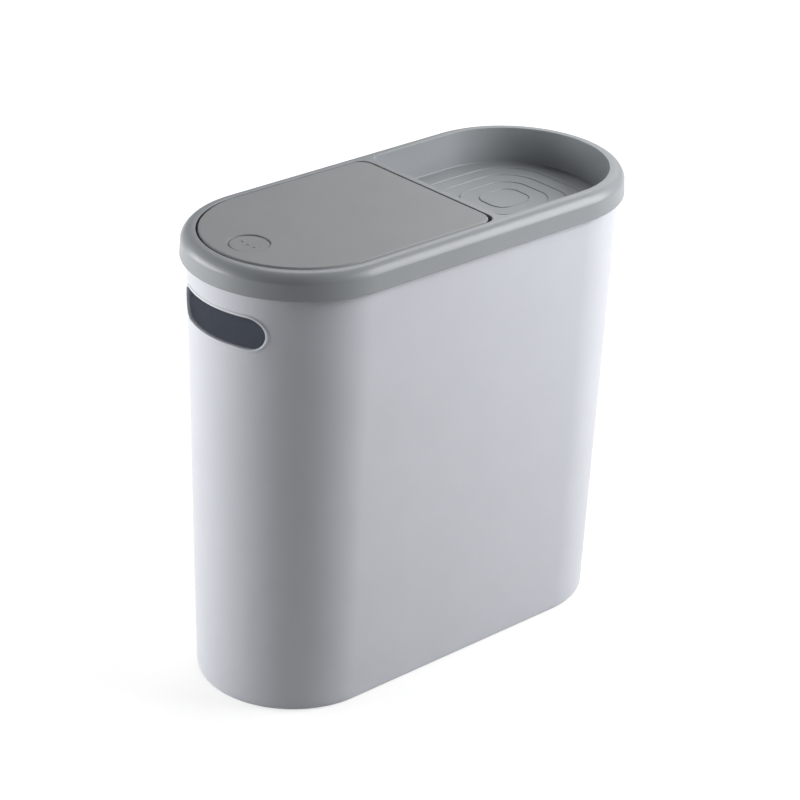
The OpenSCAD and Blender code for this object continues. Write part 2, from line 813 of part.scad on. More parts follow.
module latch_slider() {
    color(acetal_colour) {
        difference() {
            translate([-latch_x - slider_x / 2, -slider_y / 2, slider_z])
                cube([slider_x, slider_y, slider_l]);
            translate([-latch_x + slider_x / 2 - cam_depth, 0, follower_top])
                rotate([90, 0, 90])
                    linear_extrude(cam_depth + 1)
                        difference() {
                            polygon([[-cam_half, -cam_low], [cam_half, -cam_low],
                                [cam_half, press_drop], [cam_half - 2, press_drop + cam_high],
                                [2 - cam_half, press_drop + cam_high], [-cam_half, press_drop]]);
                            polygon([[0, -0.8], [1.8, 0.4], [2.6, -2], [0, -5.5], [-2.6, -2],
                                [-1.8, 0.4]]);
                        }
        }
        for (s = [0, 1])
            mirror([0, s, 0])
                translate([-latch_x - claw_x / 2, 0, 0])
                    rotate([90, 0, 90])
                        linear_extrude(claw_x)
                            polygon([[claw_y, slider_top - eps], [slider_y / 2, slider_top - eps],
                                [slider_y / 2, claw_top], [claw_y, claw_top],
                                [hook_y, hook_z + hook_flat], [hook_y, hook_z],
                                [claw_y, hook_z]]);
    }
}

module latch_spring() {
    mean_r = coil_d / 2 - coil_wire / 2;
    low = base_cap_z + coil_wire / 2;
    high = slider_z - coil_wire / 2;
    steps = coil_steps * coil_turns;
    path = [for (i = [0 : steps])
        [mean_r * cos(360 * i / coil_steps) - latch_x, mean_r * sin(360 * i / coil_steps),
        low + (high - low) * i / steps]];
    echo(str("Least gap in the coil spring: ", least_gap(path, coil_wire, 6), " mm"));
    color(steel_colour)
        wire(path, coil_wire / 2, [0, 0, 1]);
}

module latch_follower() {
    bend = follower_bend;
    color(steel_colour)
        translate([follower_x - latch_x, 0, 0]) {
            translate([0, 0, follower_low + bend])
                cylinder(h = follower_l - 2 * bend, r = follower_r);
            translate([-bend, 0, follower_top - bend])
                rotate([90, 0, 0])
                    rotate_extrude(angle = 90)
                        translate([bend, 0])
                            circle(follower_r);
            translate([-follower_tip, 0, follower_top])
                rotate([0, 90, 0])
                    cylinder(h = follower_tip - bend, r = follower_r);
            translate([bend, 0, follower_low + bend])
                rotate([90, 180, 0])
                    rotate_extrude(angle = 90)
                        translate([bend, 0])
                            circle(follower_r);
            translate([bend, 0, follower_low])
                rotate([0, 90, 0])
                    cylinder(h = follower_foot - bend, r = follower_r);
        }
}

module latch_screws() {
    color(steel_colour)
        for (s = [-1, 1])
            translate([-latch_x, s * latch_screw_y, 0])
                screw(shelf_z - tab_t, shelf_top - 0.3, latch_screw_r, latch_head_r, head_h + 0.5);
}

bin_body();
lid_frame();
flap_panel();
flap_liner();
hinge_rod();
rod_end_caps();
torsion_spring_near();
torsion_spring_far();
latch_housing();
latch_base_cap();
latch_slider();
latch_spring();
latch_follower();
latch_screws();
latch_striker();
striker_screws();
liner_screws();
flap_stop_pads();
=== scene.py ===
import math

import bmesh
import bpy
from mathutils import Matrix, Vector
from mathutils.geometry import delaunay_2d_cdt


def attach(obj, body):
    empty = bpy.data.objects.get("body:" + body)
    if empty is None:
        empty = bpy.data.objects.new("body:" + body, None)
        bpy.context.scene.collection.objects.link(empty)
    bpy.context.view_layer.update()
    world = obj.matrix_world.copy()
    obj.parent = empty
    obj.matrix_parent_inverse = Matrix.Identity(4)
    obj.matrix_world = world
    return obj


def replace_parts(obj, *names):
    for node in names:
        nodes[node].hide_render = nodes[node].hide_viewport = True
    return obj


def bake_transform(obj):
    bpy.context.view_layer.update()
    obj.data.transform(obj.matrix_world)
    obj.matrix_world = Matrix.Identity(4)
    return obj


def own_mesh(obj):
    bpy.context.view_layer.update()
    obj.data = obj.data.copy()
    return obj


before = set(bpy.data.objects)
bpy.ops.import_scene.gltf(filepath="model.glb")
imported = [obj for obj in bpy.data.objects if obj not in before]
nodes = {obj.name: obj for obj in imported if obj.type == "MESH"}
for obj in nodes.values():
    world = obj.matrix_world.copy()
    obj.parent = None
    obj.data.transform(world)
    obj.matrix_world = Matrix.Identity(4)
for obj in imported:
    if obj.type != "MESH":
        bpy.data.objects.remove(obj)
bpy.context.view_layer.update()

# Sizes in millimetres and degrees, those of the part's source; meshes are scaled to metres. The rim's
# radius is 0.05 less than in the source, which keeps the rim inside the CAD box.
MM = 0.001
EC = 105.0
RIM_R = 84.95
RIM_TOP = 357.5
SKIRT_Z = 338.0
SKIRT_H = 12.3
SKIRT_LEAN = 0.8
SKIRT_WALL = 2.3
SHOULDER_H = 7.2
SHOULDER_START = 20.0
CREST_W = 2.2
LID_WALL = 2.2
BODY_R = 80.0
DRAFT = 8.0
WALL = 2.4
BODY_TOP = 347.0
BEAD_H = 4.5
BEAD_R = 82.3
FOOT_H = 2.0
BASE_ROUND = 4.0
BOTTOM_Z = 4.6
INNER_ROUND = 3.0
SLOT_Z = 307.5
SLOT_L = 88.0
SLOT_H = 24.0
MOUTH_R = 73.5
MOUTH_INSET = 11.5
MOUTH_X = 19.0
MOUTH_CORNER = 10.0
COLLAR_Z = 334.0
TRAY_R = 72.5
TRAY_X = 24.2
TRAY_CORNER = 9.0
TRAY_DEPTH = 27.5
TRAY_DRAFT = 3.0
LINES_X = 98.0
LINE_HALF = 18.5
LINE_STEP = 13.0
LINE_COUNT = 4
FLAP_R = 72.0
FLAP_X = 17.5
FLAP_CORNER = 12.0
FLAP_BEVEL = 1.3
FLAP_TOP = 358.0
PLATE_Z = 355.8
EDGE_Z = 350.5
EDGE_END = 2.5
EDGE_T = 1.8
LINER_TOP = 353.7
MARK_R = 15.5
DOT_STEP = 6.5
OUTER_SCREW = (18.0, 44.0)
INNER_SCREW = (24.0, 50.0)
STRIKER_SCREW_Y = 6.5
AXIS_X = 10.5
AXIS_Z = 353.0
BORE_R = 1.5
KNUCKLE_R = 2.8
KNUCKLE_Y = (19.0, 38.0)
EAR_R = 2.5
EAR_T = 4.0
EARS_Y = (14.5, 49.0)
FOOT_TOP = 344.0
FOOT_LOW = 339.5
SPRING_ROOM = 11.0
TORSION_R = 2.1
TORSION_PITCH = 1.6
TORSION_TURNS = 5.25
TORSION_LEG = 7.5
TORSION_WIRE_R = 0.45
LEG_GAP = 0.14
LATCH_X = 151.0
SHELF_Z = 341.57
SHELF_T = 3.0
SHELF_HALF = 17.0
SHELF_PAST = 14.0
SHELF_END = 178.5
WINDOW_HALF = (4.5, 7.0)
LATCH_SCREW_Y = 11.65
LATCH_SCREW_R = 1.5
BASE_CAP_Z = 311.07
SLIDER_Z = 322.07
COIL_R = 3.1
COIL_TURNS = 6
COIL_WIRE_R = 0.4
COIL_END = 0.42

# Steps of the meshes: half circle of an end, straight sides, corner of an opening, sides of an opening,
# shoulder, rounded corner, knuckle or ear, turn of a spring, leg of a spring, sides of a wire
ARC = 64
STRAIGHT = 10
TURN = 10
SIDE = 8
SHOULDER_STEPS = 14
CORNER_STEPS = 3
HINGE_STEPS = 15
COIL_STEPS = 32
LEG_STEPS = 8
WIRE_SIDES = 14

# Domed wire ends: share of the wire's radius, and place along the wire in radii
WIRE_START = ((0.35, 0.0), (0.8, 0.1), (1.0, 0.3))
WIRE_MIDDLE = ((1.0, 0.0),)
WIRE_END = ((1.0, -0.3), (0.8, -0.1), (0.35, 0.0))

WELD = 0.0005
SHARP = 38.0
WIRE_SHARP = 80.0
NORMAL_WEIGHT = 80


# ---------------------------------------------------------------- meshes
class Skin:
    """Collects points in millimetres and faces, and turns them into one object."""

    def __init__(self):
        self.points = []
        self.faces = []

    def ring(self, pts):
        start = len(self.points)
        self.points.extend(pts)
        return list(range(start, start + len(pts)))

    def bridge(self, a, b, closed):
        n = len(a)
        for i in range(n if closed else n - 1):
            j = (i + 1) % n
            self.faces.append((a[i], a[j], b[j], b[i]))

    def rings(self, loops, closed=True, around=False):
        """Joins each loop to the next, and the last to the first where around is set."""
        made = [self.ring(p) for p in loops]
        for a, b in zip(made, made[1:]):
            self.bridge(a, b, closed)
        if around:
            self.bridge(made[-1], made[0], closed)
        return made

    def fill(self, loops, z=0.0, put=None):
        """A flat face inside the first loop of (x, y) and outside the others, at z or placed by put."""
        verts, edges = [], []
        for loop in loops:
            s = len(verts)
            verts.extend(Vector(p) for p in loop)
            edges.extend((s + i, s + (i + 1) % len(loop)) for i in range(len(loop)))
        out = delaunay_2d_cdt(verts, edges, [], 0, 1e-6)
        pts = [(p.x, p.y) for p in out[0]]
        base = self.ring([put(*p) if put else (*p, z) for p in pts])
        for f in out[2]:
            middle = [sum(pts[i][axis] for i in f) / len(f) for axis in (0, 1)]
            if inside(middle, loops[0]) and not any(inside(middle, h) for h in loops[1:]):
                self.faces.append(tuple(base[i] for i in f))

    def block(self, outline, lo, hi, put, bevel, holes=()):
        """A prism of an outline (u, v) from w = lo to hi, placed by put(u, v, w), with rounded end edges."""
        levels = [(bevel, lo), (bevel * 0.3, lo + bevel * 0.3), (0.0, lo + bevel),
                  (0.0, hi - bevel), (bevel * 0.3, hi - bevel * 0.3), (bevel, hi)]
        self.rings([[put(u, v, w) for u, v in inset(outline, d)] for d, w in levels])
        for w in (lo, hi):
            self.fill([inset(outline, bevel), *holes], put=lambda u, v, w=w: put(u, v, w))
        for hole in holes:
            self.rings([[put(u, v, w) for u, v in hole] for w in (lo, hi)])

    def tube(self, path, r):
        """A round wire along a path, its frame carried along without twist, with domed ends."""
        path = [Vector(p) for p in path]
        last = len(path) - 1
        steps = [(path[min(i + 1, last)] - path[max(i - 1, 0)]).normalized() for i in range(last + 1)]
        angles = [2 * math.pi * k / WIRE_SIDES for k in range(WIRE_SIDES)]
        across = steps[0].orthogonal().normalized()
        loops = []
        for i, (p, t) in enumerate(zip(path, steps)):
            across = (across - t * across.dot(t)).normalized()
            other = t.cross(across)
            for size, along in {0: WIRE_START, last: WIRE_END}.get(i, WIRE_MIDDLE):
                c = p + t * (r * along)
                loops.append([tuple(c + (across * math.cos(a) + other * math.sin(a)) * r * size)
                              for a in angles])
        made = self.rings(loops)
        self.faces.extend((tuple(made[0]), tuple(made[-1])))

    def build(self, name, material, body, sharp=SHARP):
        """The object, riding on body, or on no body where body is None."""
        mesh = bpy.data.meshes.new(name)
        bm = bmesh.new()
        verts = [bm.verts.new((x * MM, y * MM, z * MM)) for x, y, z in self.points]
        for f in self.faces:
            bm.faces.new([verts[i] for i in f])
        bmesh.ops.remove_doubles(bm, verts=bm.verts, dist=WELD * MM)
        bmesh.ops.dissolve_degenerate(bm, edges=bm.edges, dist=1e-7)
        bmesh.ops.recalc_face_normals(bm, faces=bm.faces)
        bm.normal_update()
        for f in bm.faces:
            f.smooth = True
        for e in bm.edges:
            if len(e.link_faces) == 2:
                e.smooth = e.calc_face_angle(0.0) < math.radians(sharp)
        bm.to_mesh(mesh)
        bm.free()
        obj = bpy.data.objects.new(name, mesh)
        bpy.context.scene.collection.objects.link(obj)
        mesh.materials.append(material)
        w = obj.modifiers.new("even_normals", "WEIGHTED_NORMAL")
        w.keep_sharp = True
        w.weight = NORMAL_WEIGHT
        if body:
            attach(obj, body)
        return obj


def inside(p, loop):
    x, y = p
    hit = False
    for (x0, y0), (x1, y1) in zip(loop, loop[1:] + loop[:1]):
        if (y0 > y) != (y1 > y) and x < (x1 - x0) * (y - y0) / (y1 - y0) + x0:
            hit = not hit
    return hit


def inset(loop, d):
    """The outline moved inwards by d, on mitred corners."""
    ahead = loop[1:] + loop[:1]
    area = sum(a[0] * b[1] - b[0] * a[1] for a, b in zip(loop, ahead))
    turn = 1 if area > 0 else -1
    out = []
    for i, here in enumerate(loop):
        before = (Vector(here) - Vector(loop[i - 1])).normalized()
        after = (Vector(ahead[i]) - Vector(here)).normalized()
        na, nb = Vector((-before.y, before.x)) * turn, Vector((-after.y, after.x)) * turn
        m = (na + nb).normalized()
        out.append(tuple(Vector(here) + m * (d / max(m.dot(na), 0.4))))
    return out


def rounded(corners, r):
    """A polygon with each corner rounded to r, or to its own radius where one follows its place."""
    out = []
    for i, (x, y, *own) in enumerate(corners):
        here = Vector((x, y))
        radius = own[0] if own else r
        if radius <= 0:
            out.append((here.x, here.y))
            continue
        a = (Vector(corners[i - 1][:2]) - here).normalized()
        b = (Vector(corners[(i + 1) % len(corners)][:2]) - here).normalized()
        half = a.angle(b) / 2
        middle = here + (a + b).normalized() * (radius / math.sin(half))
        start = here + a * (radius / math.tan(half)) - middle
        end = here + b * (radius / math.tan(half)) - middle
        sweep = start.angle_signed(end)
        for k in range(CORNER_STEPS + 1):
            t = -sweep * k / CORNER_STEPS
            out.append((middle.x + start.x * math.cos(t) - start.y * math.sin(t),
                        middle.y + start.x * math.sin(t) + start.y * math.cos(t)))
    return out


def arc(cx, cy, r, a0, a1, n):
    """Points on a circle from a0 to a1 degrees, in n steps."""
    angles = [math.radians(a0 + (a1 - a0) * i / n) for i in range(n + 1)]
    return [(cx + r * math.cos(a), cy + r * math.sin(a)) for a in angles]


def circle(r, cx, cy, n=32):
    angles = [2 * math.pi * k / n for k in range(n)]
    return [(cx + r * math.cos(a), cy + r * math.sin(a)) for a in angles]


def at(outline, z):
    return [(x, y, z) for x, y in outline]


def along_y(u, v, w):
    return (u, w, v)


def along_z(u, v, w):
    return (u, v, w)


def stadium(r):
    """The bin's outline: two half circles and two straight sides."""
    pts = arc(EC, 0.0, r, -90, 90, ARC)
    pts += [(EC - 2 * EC * k / STRAIGHT, r) for k in range(1, STRAIGHT)]
    pts += arc(-EC, 0.0, r, 90, 270, ARC)
    pts += [(-EC + 2 * EC * k / STRAIGHT, -r) for k in range(1, STRAIGHT)]
    return pts


def dee(flat, r, corner, out, left=False, stop=None):
    """Outline with a round end at +X and a flat side at x = flat, moved outwards by out; stop moves the
    last point of each straight side to that x, and left mirrors it all in X."""
    x_in = flat + corner
    on_side = [EC - (EC - x_in) * k / SIDE for k in range(1, SIDE)]
    if stop is not None:
        on_side[-1] = stop
    pts = arc(EC, 0.0, r + out, -90, 90, ARC)
    pts += [(x, r + out) for x in on_side]
    pts += arc(x_in, r - corner, corner + out, 90, 180, TURN)
    pts += [(flat - out, (r - corner) * (1 - 2 * k / SIDE)) for k in range(1, SIDE)]
    pts += arc(x_in, corner - r, corner + out, 180, 270, TURN)
    pts += [(x, -r - out) for x in reversed(on_side)]
    return [(-x, y) for x, y in reversed(pts)] if left else pts


def mouth(out):
    return dee(-MOUTH_X, MOUTH_R, MOUTH_CORNER, out, left=True)


def tray(out):
    return dee(TRAY_X, TRAY_R, TRAY_CORNER, out)


def flap_line(out):
    return dee(-FLAP_X, FLAP_R, FLAP_CORNER, out, left=True, stop=-EDGE_END)


# ---------------------------------------------------------------- materials
# Scales are per metre, depths in metres. A noise's values from NOISE_LOW to NOISE_HIGH span a whole ramp.
NOISE_LOW, NOISE_HIGH = 0.3, 0.7
TONE_SCALE = 28.0
SHEEN_SCALE = 240.0
SHEEN_SPREAD = 0.015
PLASTIC_IOR = 1.46
SCATTER_DEPTH = 0.004
DRAWN = (60.0, 900.0, 60.0)
EVEN = (400.0, 400.0, 400.0)


def new_material(name):
    m = bpy.data.materials.new(name)
    m.use_nodes = True
    t = m.node_tree
    t.nodes.clear()
    out = t.nodes.new("ShaderNodeOutputMaterial")
    coord = t.nodes.new("ShaderNodeTexCoord")
    return m, t, out, coord


def principled(name):
    m, t, out, coord = new_material(name)
    bsdf = t.nodes.new("ShaderNodeBsdfPrincipled")
    t.links.new(bsdf.outputs["BSDF"], out.inputs["Surface"])
    return m, t, bsdf, coord


def noise(t, coord, scale, detail, stretch=None):
    n = t.nodes.new("ShaderNodeTexNoise")
    n.inputs["Scale"].default_value = scale
    n.inputs["Detail"].default_value = detail
    place = coord.outputs["Object"]
    if stretch:
        mapping = t.nodes.new("ShaderNodeMapping")
        mapping.inputs["Scale"].default_value = stretch
        t.links.new(place, mapping.inputs["Vector"])
        place = mapping.outputs["Vector"]
    t.links.new(place, n.inputs["Vector"])
    return n.outputs["Fac"]


def ramp(t, fac, low, high):
    r = t.nodes.new("ShaderNodeValToRGB")
    for element, place, colour in zip(r.color_ramp.elements, (NOISE_LOW, NOISE_HIGH), (low, high)):
        element.position = place
        element.color = (*colour, 1)
    t.links.new(fac, r.inputs["Fac"])
    return r.outputs["Color"]


def spread(t, value, low, high, start=NOISE_LOW, stop=NOISE_HIGH):
    """The value's range from start to stop, mapped to low to high."""
    r = t.nodes.new("ShaderNodeMapRange")
    for socket, number in (("From Min", start), ("From Max", stop), ("To Min", low), ("To Max", high)):
        r.inputs[socket].default_value = number
    t.links.new(value, r.inputs["Value"])
    return r.outputs["Result"]


def bump(t, bsdf, fac, strength, distance):
    b = t.nodes.new("ShaderNodeBump")
    b.inputs["Strength"].default_value = strength
    b.inputs["Distance"].default_value = distance
    t.links.new(fac, b.inputs["Height"])
    t.links.new(b.outputs["Normal"], bsdf.inputs["Normal"])


def plastic(name, colour, rough, grain, depth, strength, vary, translucent=0.0):
    """Moulded plastic: a faint change of tone, a fine grain, and scattering where it is translucent."""
    m, t, bsdf, coord = principled(name)
    low = [c * (1 - vary) for c in colour]
    high = [min(1.0, c * (1 + vary)) for c in colour]
    t.links.new(ramp(t, noise(t, coord, TONE_SCALE, 3.0), low, high), bsdf.inputs["Base Color"])
    sheen = spread(t, noise(t, coord, SHEEN_SCALE, 3.0), rough - SHEEN_SPREAD, rough + SHEEN_SPREAD)
    t.links.new(sheen, bsdf.inputs["Roughness"])
    bump(t, bsdf, noise(t, coord, grain, 2.0), strength, depth)
    bsdf.inputs["IOR"].default_value = PLASTIC_IOR
    if translucent:
        bsdf.inputs["Subsurface Weight"].default_value = translucent
        bsdf.inputs["Subsurface Radius"].default_value = (1.0, 1.0, 1.0)
        bsdf.inputs["Subsurface Scale"].default_value = SCATTER_DEPTH
    return m


def metal(name, colour, rough, stretch):
    """Steel with fine streaks, which are shortest along the axis where stretch is highest."""
    m, t, bsdf, coord = principled(name)
    low = [c * 0.9 for c in colour]
    t.links.new(ramp(t, noise(t, coord, 12.0, 3.0, stretch), low, colour), bsdf.inputs["Base Color"])
    streaks = spread(t, noise(t, coord, 9.0, 4.0, stretch), rough - 0.08, rough + 0.08)
    t.links.new(streaks, bsdf.inputs["Roughness"])
    bump(t, bsdf, noise(t, coord, 14.0, 2.0, stretch), 0.2, 0.00001)
    bsdf.inputs["Metallic"].default_value = 1.0
    return m


def srgb(*rgb):
    shares = [c / 255.0 for c in rgb]
    return [c / 12.92 if c <= 0.04045 else ((c + 0.055) / 1.055) ** 2.4 for c in shares]


body_mat = plastic("bin_shell", srgb(214, 217, 224), 0.36, grain=1700.0, depth=0.000012, strength=0.2,
                   vary=0.012, translucent=0.6)
lid_mat = plastic("lid_shell", srgb(153, 157, 161), 0.34, grain=1500.0, depth=0.000012, strength=0.22,
                  vary=0.02)
flap_mat = plastic("flap_matt", srgb(145, 147, 149), 0.48, grain=1100.0, depth=0.00003, strength=0.3,
                   vary=0.02)
acetal_mat = plastic("acetal", srgb(232, 231, 224), 0.3, grain=600.0, depth=0.00001, strength=0.15,
                     vary=0.015)
pad_mat = plastic("clear_pad", srgb(196, 200, 204), 0.42, grain=500.0, depth=0.00002, strength=0.2,
                  vary=0.02)
steel_mat = metal("bright_steel", (0.62, 0.63, 0.65), 0.28, DRAWN)
spring_mat = metal("spring_steel", (0.42, 0.42, 0.43), 0.32, EVEN)

DRESS = (
    (body_mat, ("bin_body",)),
    (lid_mat, ("lid_frame",)),
    (flap_mat, ("flap_panel", "flap_liner")),
    (acetal_mat, ("rod_end_caps", "latch_housing", "latch_base_cap", "latch_slider", "latch_striker")),
    (steel_mat, ("hinge_rod", "latch_screws", "striker_screws", "liner_screws")),
    (spring_mat, ("torsion_spring_near", "torsion_spring_far", "latch_spring", "latch_follower")),
    (pad_mat, ("flap_stop_pads",)),
)
for material, names in DRESS:
    for name in names:
        nodes[name].data.materials.clear()
        nodes[name].data.materials.append(material)


# ---------------------------------------------------------------- bin body
# The slot's patch: plan points that it leaves at each side of an end, and its heights
K0 = 17
Z_LO, Z_HI = 284.0, 331.0
PATCH = [Z_LO + (Z_HI - Z_LO) * i / 12 for i in range(13)]
BELOW_PATCH = [8, 20, 60, 110, 160, 210, 250, 275]
ABOVE_PATCH = [334, 338, 341.6]

# The slot's raised lip outside and its edge inside: distance from the slot's edge, height off the wall
LIP = [(0.0, -0.7), (0.0, 0.25), (0.12, 0.62), (0.4, 0.85), (0.75, 0.9), (1.25, 0.9), (1.65, 0.8),
       (1.95, 0.5), (2.15, 0.2), (2.5, 0.05), (3.1, 0.0), (4.6, 0.0), (6.6, 0.0), (9.5, 0.0)]
HOLE = [(0.0, -WALL + 0.35), (0.1, -WALL + 0.1), (0.35, -WALL), (3.0, -WALL), (6.6, -WALL), (9.5, -WALL)]


def wall_r(z):
    """Radius of the tapered wall's outside at height z."""
    return BODY_R - DRAFT * (1 - z / SKIRT_Z)


def end_point(y, z, out, sign):
    """The point of a round end at y and z, on the wall moved outwards by out."""
    r = wall_r(z) + out
    return (sign * (EC + math.sqrt(max(r * r - y * y, 0.0))), y, z)


def body_profile():
    """The shell's section as (radius, z), from the underside up outside and down inside to the floor."""
    foot = wall_r(0) - BASE_ROUND
    levels = BELOW_PATCH + PATCH + ABOVE_PATCH
    pts = [(foot - 8.3, FOOT_H), (foot - 7.9, 1.9), (foot - 6.3, 0.25), (foot - 5.6, 0.0), (foot - 0.6, 0.0)]
    pts += arc(foot, BASE_ROUND, BASE_ROUND, -86, 0, 8)
    pts += [(wall_r(z), z) for z in levels]
    # the bead, with its under, top and inner edges rounded
    bead_z = BODY_TOP - BEAD_H
    neck = wall_r(bead_z - 0.3)
    under_r, top_r, inner_r = 0.4, 0.6, 0.5
    pts += [(neck + 0.1, bead_z - 0.2), (neck + 0.5, bead_z), (BEAD_R - under_r, bead_z)]
    pts += arc(BEAD_R - under_r, bead_z + under_r, under_r, -90, 0, 3)[1:]
    pts += [(BEAD_R, BODY_TOP - top_r)]
    pts += arc(BEAD_R - top_r, BODY_TOP - top_r, top_r, 0, 90, 3)[1:]
    pts += arc(wall_r(BODY_TOP) - WALL + inner_r, BODY_TOP - inner_r, inner_r, 90, 180, 3)
    pts += [(wall_r(z) - WALL, z) for z in reversed(levels)]
    round_z = BOTTOM_Z + INNER_ROUND
    return pts + arc(wall_r(round_z) - WALL - INNER_ROUND, round_z, INNER_ROUND, 0, -90, 6)


def slot_border(out):
    """The patch's border as (y, z), on the wall moved outwards by out."""
    def edge(k, z):
        return ((wall_r(z) + out) * math.sin(math.radians(-90 + 180 * k / ARC)), z)
    ks = range(K0, ARC - K0 + 1)
    border = [edge(k, Z_LO) for k in ks]
    border += [edge(ks[-1], z) for z in PATCH[1:]]
    border += [edge(k, Z_HI) for k in reversed(ks[:-1])]
    return border + [edge(ks[0], z) for z in reversed(PATCH[1:-1])]


def slot_rings(sign):
    """Rings from the patch's border inside the bin, through the slot's edge, to the border outside."""
    inner, outer = slot_border(-WALL), slot_border(0.0)
    half, r = (SLOT_L - SLOT_H) / 2, SLOT_H / 2
    slot = []
    for y, z in outer:
        ny = max(-half, min(half, y))
        dy, dz = y - ny, z - SLOT_Z
        d = math.hypot(dy, dz)
        slot.append((ny + dy / d * r, SLOT_Z + dz / d * r))

    def ring(border, width, out):
        pts = []
        for (qy, qz), (py, pz) in zip(slot, border):
            dy, dz = py - qy, pz - qz
            d = math.hypot(dy, dz)
            f = min(width, d * 0.92) / d
            pts.append(end_point(qy + dy * f, qz + dz * f, out, sign))
        return pts

    return ([[end_point(y, z, -WALL, sign) for y, z in inner]]
            + [ring(inner, width, out) for width, out in reversed(HOLE)]
            + [ring(outer, width, out) for width, out in LIP]
            + [[end_point(y, z, 0.0, sign) for y, z in outer]])


def bin_shell():
    skin = Skin()
    profile = body_profile()

    def is_patch(i, j):
        """The face between profile points i and i + 1 and plan points j and j + 1 is in a slot's patch."""
        low, high = sorted((profile[i][1], profile[i + 1][1]))
        if low < Z_LO - 0.01 or high > Z_HI + 0.01:
            return False
        return any(end + K0 <= j < end + ARC - K0 for end in (0, ARC + STRAIGHT))

    made = [skin.ring(at(stadium(r), z)) for r, z in profile]
    n = len(made[0])
    for i, (a, b) in enumerate(zip(made, made[1:])):
        for j in range(n):
            if not is_patch(i, j):
                k = (j + 1) % n
                skin.faces.append((a[j], a[k], b[k], b[j]))
    for r, z in (profile[-1], profile[0]):
        skin.fill([stadium(r)], z)
    for sign in (1, -1):
        skin.rings(slot_rings(sign))
    return skin.build("bin_shell", body_mat, "bin")


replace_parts(bin_shell(), "bin_body")


# ---------------------------------------------------------------- lid frame
SOFT = 0.45
SKIRT_LEVELS = (341.0, 344.0, 347.0, 349.4)
TRAY_LEVELS = (354.0, 348.0, 342.0, 336.0, 331.6)

# The rib that stands on the body's top edge, as (radius, z)
SEAT_RIB = [(78.4, 353.6), (78.4, 347.3), (78.7, 347.0), (80.1, 347.0), (80.4, 347.3), (80.4, 352.6)]

# A raised line in the tray: how far outside its outline, height above the tray's floor
LINE_SECTION = [(0.0, -0.1), (0.0, 0.15), (-0.16, 0.43), (-0.42, 0.58), (-0.7, 0.6), (-0.98, 0.58),
                (-1.24, 0.43), (-1.4, 0.15), (-1.4, -0.1)]


def shoulder(drop):
    """The rim's shoulder as (radius, z), an arc of an ellipse, drop deep under the surface."""
    start = math.radians(SHOULDER_START)
    a = (MOUTH_INSET - SKIRT_LEAN - CREST_W) / math.cos(start)
    b = SHOULDER_H / (1 - math.sin(start))
    pts = []
    for i in range(SHOULDER_STEPS + 1):
        t = math.radians(SHOULDER_START + (90 - SHOULDER_START) * i / SHOULDER_STEPS)
        pts.append((MOUTH_R + CREST_W + (a - drop) * math.cos(t), RIM_TOP - b + (b - drop) * math.sin(t)))
    return pts


def rim_path():
    """The rim's section as (radius, z), from inside the shoulder down the skirt and up outside."""
    skirt_in = RIM_R - SKIRT_WALL
    inner_r, outer_r = 0.5, 0.8
    path = [(r, z) for r, z in reversed(shoulder(LID_WALL)) if z > BODY_TOP + 1 and r < skirt_in]
    path += [(skirt_in, BODY_TOP + 0.6), (skirt_in, SKIRT_Z + inner_r)]
    path += arc(skirt_in + inner_r, SKIRT_Z + inner_r, inner_r, 180, 270, 3)[1:]
    path += arc(RIM_R - outer_r, SKIRT_Z + outer_r, outer_r, -90, 0, 4)
    path += [(RIM_R - SKIRT_LEAN * (z - SKIRT_Z) / SKIRT_H, z) for z in SKIRT_LEVELS]
    return path + shoulder(0.0)


def soft_edge(last):
    """The rounding from the deck into an opening as (outwards, z), down to last degrees."""
    angles = [math.radians(a) for a in (0, 22, 45, 68, last)]
    return [(SOFT - SOFT * math.sin(a), RIM_TOP - SOFT + SOFT * math.cos(a)) for a in angles]


def mouth_path(under):
    """The collar that hangs down round the mouth."""
    return soft_edge(90) + [
        (0.0, 345.0), (0.0, COLLAR_Z + 0.5), (0.15, COLLAR_Z + 0.15), (0.5, COLLAR_Z),
        (LID_WALL - 0.5, COLLAR_Z), (LID_WALL - 0.15, COLLAR_Z + 0.15), (LID_WALL, COLLAR_Z + 0.5),
        (LID_WALL, under)]


def add_tray(skin, under):
    """The tray's inside with a rounded foot, its outside, and its floor from above and below."""
    slope = TRAY_DRAFT / TRAY_DEPTH
    floor_z = RIM_TOP - TRAY_DEPTH
    r = 1.1
    path = soft_edge(85) + [(-slope * (RIM_TOP - z), z) for z in TRAY_LEVELS]
    for a in (math.radians(v) for v in (15, 35, 55, 75, 90)):
        path.append((0.15 - TRAY_DRAFT - r + r * math.cos(a), floor_z + r - r * math.sin(a)))
    skin.rings([at(tray(out), z) for out, z in path])
    skin.fill([tray(path[-1][0])], floor_z)
    low = LID_WALL - TRAY_DRAFT
    under_z = floor_z - LID_WALL
    outer = [(LID_WALL, under), (LID_WALL - slope * 22, 333.0), (low, 329.0), (low - 0.25, 328.2),
             (low - 0.9, under_z)]
    skin.rings([at(tray(out), z) for out, z in outer])
    skin.fill([tray(outer[-1][0])], under_z)


